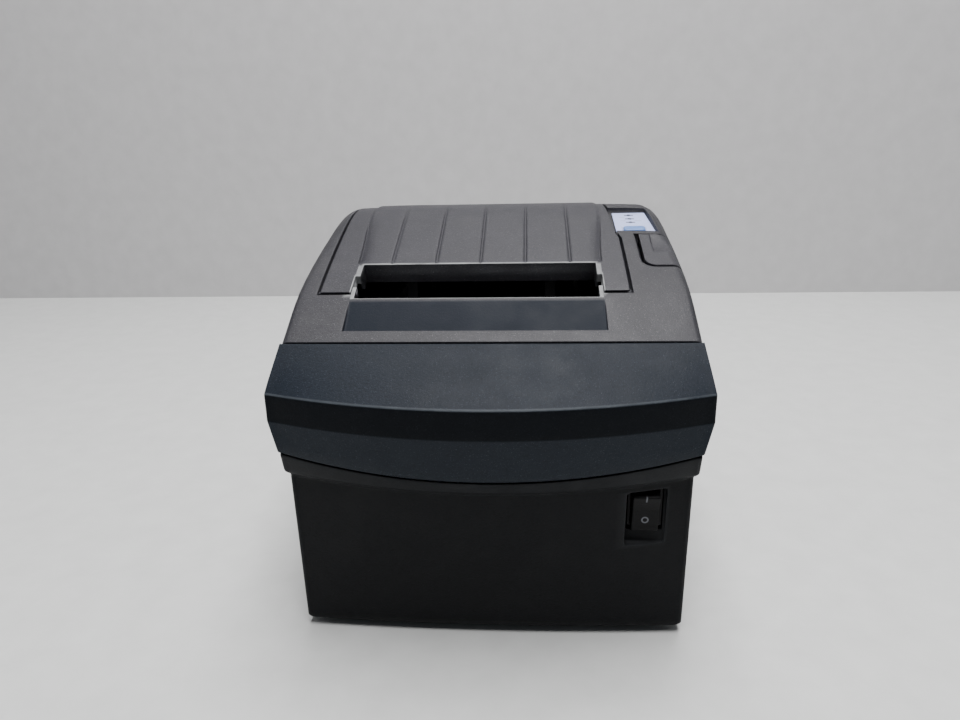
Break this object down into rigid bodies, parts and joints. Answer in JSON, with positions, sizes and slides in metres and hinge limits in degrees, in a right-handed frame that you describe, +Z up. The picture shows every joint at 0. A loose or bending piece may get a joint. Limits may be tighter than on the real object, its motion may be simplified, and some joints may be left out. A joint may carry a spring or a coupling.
{
  "type": "receipt printer",
  "caption": "Desktop thermal receipt printer with a hinged roll cover, bowed sliding front cover, open paper slot, tilted control panel and a front rocker switch.",
  "frame": {"origin": "on the table under the middle of the printer's outline, at the bottom of the feet", "axes": "+X to the printer's right seen from the front, -Y towards the front, +Z up"},
  "size_m": [0.145, 0.195, 0.1399],
  "materials": {
    "case_plastic": "fine-grained near-black moulding",
    "charcoal_plastic": "fine-grained charcoal moulding",
    "black_plastic": "smooth black moulding",
    "rubber": "matt black",
    "steel": "zinc-plated sheet and ground shafts",
    "motor_metal": "plated motor cans",
    "aluminium": "extruded",
    "brass": "turned",
    "gear_plastic": "natural acetal",
    "board": "green circuit board",
    "label_plastic": "printed polycarbonate, satin",
    "lens": "dark clear",
    "feed_button_plastic": "satin blue",
    "ceramic": "glazed ceramic"
  },
  "bodies": {
    "case": {"lower_case": "case_plastic", "bottom_plate": "case_plastic", "foot_front_left": "rubber", "foot_front_right": "rubber", "foot_back_left": "rubber", "foot_back_right": "rubber", "base_screw_1": "steel", "base_screw_2": "steel", "base_screw_3": "steel", "base_screw_4": "steel", "switch_cover": "case_plastic", "upper_housing": "charcoal_plastic", "hinge_pin_left": "steel", "hinge_pin_right": "steel", "panel_label": "label_plastic", "lamp_lenses": "lens", "panel_board": "board", "switch_body": "black_plastic", "side_frame_left": "steel", "side_frame_right": "steel", "mechanism_base": "steel", "motor_shelf": "steel", "print_head": "ceramic", "heat_sink": "aluminium", "head_spring": "steel", "feed_motor": "motor_metal", "cutter_motor": "motor_metal", "latch_spring": "steel", "roll_bin": "black_plastic", "near_end_sensor": "black_plastic", "main_board": "board", "data_socket": "black_plastic", "drawer_socket": "black_plastic", "power_inlet": "black_plastic", "interface_plate": "steel"},
    "lid": {"roll_cover": "charcoal_plastic", "cover_frame": "black_plastic", "fixed_blade": "steel", "platen_bush_left": "brass", "platen_bush_right": "brass"},
    "platen": {"platen_roller": "rubber", "platen_shaft": "steel", "platen_gear": "gear_plastic"},
    "idler": {"idler_gear": "gear_plastic"},
    "feed_pinion": {"feed_pinion": "brass"},
    "front_cover": {"front_cover": "charcoal_plastic"},
    "cover_button": {"cover_button": "charcoal_plastic"},
    "latch": {"latch_shaft": "steel", "latch_hook_left": "steel", "latch_hook_right": "steel", "latch_arm": "black_plastic"},
    "feed_button": {"feed_button": "feed_button_plastic"},
    "power_rocker": {"power_rocker": "black_plastic"},
    "cutter_shaft": {"cutter_shaft": "steel", "cutter_gear": "gear_plastic", "rack_pinion_left": "gear_plastic", "rack_pinion_right": "gear_plastic"},
    "blade": {"moving_blade": "steel"},
    "cutter_pinion": {"cutter_pinion": "brass", "cutter_dial": "gear_plastic"}
  },
  "joints": [
    {"name": "lid_hinge", "type": "hinge", "parent": "case", "child": "lid", "pos_m": [-0.00535, 0.093, 0.1105], "axis": [-1, 0, 0], "range_deg": [0, 75]},
    {"name": "platen_spin", "type": "hinge", "parent": "lid", "child": "platen", "pos_m": [-0.00535, -0.02, 0.092], "axis": [1, 0, 0], "continuous": true},
    {"name": "idler_spin", "type": "hinge", "parent": "case", "child": "idler", "pos_m": [-0.056, -0.01651, 0.07068], "axis": [1, 0, 0], "continuous": true},
    {"name": "feed_pinion_spin", "type": "hinge", "parent": "case", "child": "feed_pinion", "pos_m": [-0.056, -0.03091, 0.06203], "axis": [1, 0, 0], "continuous": true},
    {"name": "front_cover_slide", "type": "slide", "parent": "case", "child": "front_cover", "axis": [0, -1, 0], "range_m": [0, 0.018]},
    {"name": "cover_button_press", "type": "hinge", "parent": "case", "child": "cover_button", "pos_m": [0.064, -0.0265, 0.122], "axis": [-1, 0, 0], "range_deg": [0, 4], "stiffness_Nm_per_rad": 0.6, "springref_deg": -3.44},
    {"name": "latch_turn", "type": "hinge", "parent": "case", "child": "latch", "pos_m": [-0.00535, -0.022, 0.075], "axis": [-1, 0, 0], "range_deg": [0, 12]},
    {"name": "feed_button_press", "type": "slide", "parent": "case", "child": "feed_button", "axis": [0, 0.238, -0.9713], "range_m": [0, 0.0008], "stiffness_N_per_m": 900, "springref_m": -0.0006},
    {"name": "power_rocker_turn", "type": "hinge", "parent": "case", "child": "power_rocker", "pos_m": [0.05235, -0.078, 0.0528], "axis": [-1, 0, 0], "range_deg": [0, 12]},
    {"name": "cutter_shaft_turn", "type": "hinge", "parent": "case", "child": "cutter_shaft", "pos_m": [-0.00535, -0.052, 0.0932], "axis": [-1, 0, 0], "range_deg": [0, 90.2]},
    {"name": "blade_slide", "type": "slide", "parent": "case", "child": "blade", "axis": [0, 1, 0], "range_m": [0, 0.00942]},
    {"name": "cutter_pinion_turn", "type": "hinge", "parent": "case", "child": "cutter_pinion", "pos_m": [0.046, -0.06449, 0.0849], "axis": [-1, 0, 0], "range_deg": [-180.5, 0]}
  ],
  "couplings": [
    {"joint": "idler_spin", "follows": "platen_spin", "ratio": -0.8},
    {"joint": "feed_pinion_spin", "follows": "platen_spin", "ratio": 2},
    {"joint": "latch_turn", "follows": "cover_button_press", "ratio": 3},
    {"joint": "cutter_shaft_turn", "follows": "blade_slide", "rad_per_m": 166.67},
    {"joint": "cutter_pinion_turn", "follows": "blade_slide", "rad_per_m": -333.33}
  ]
}
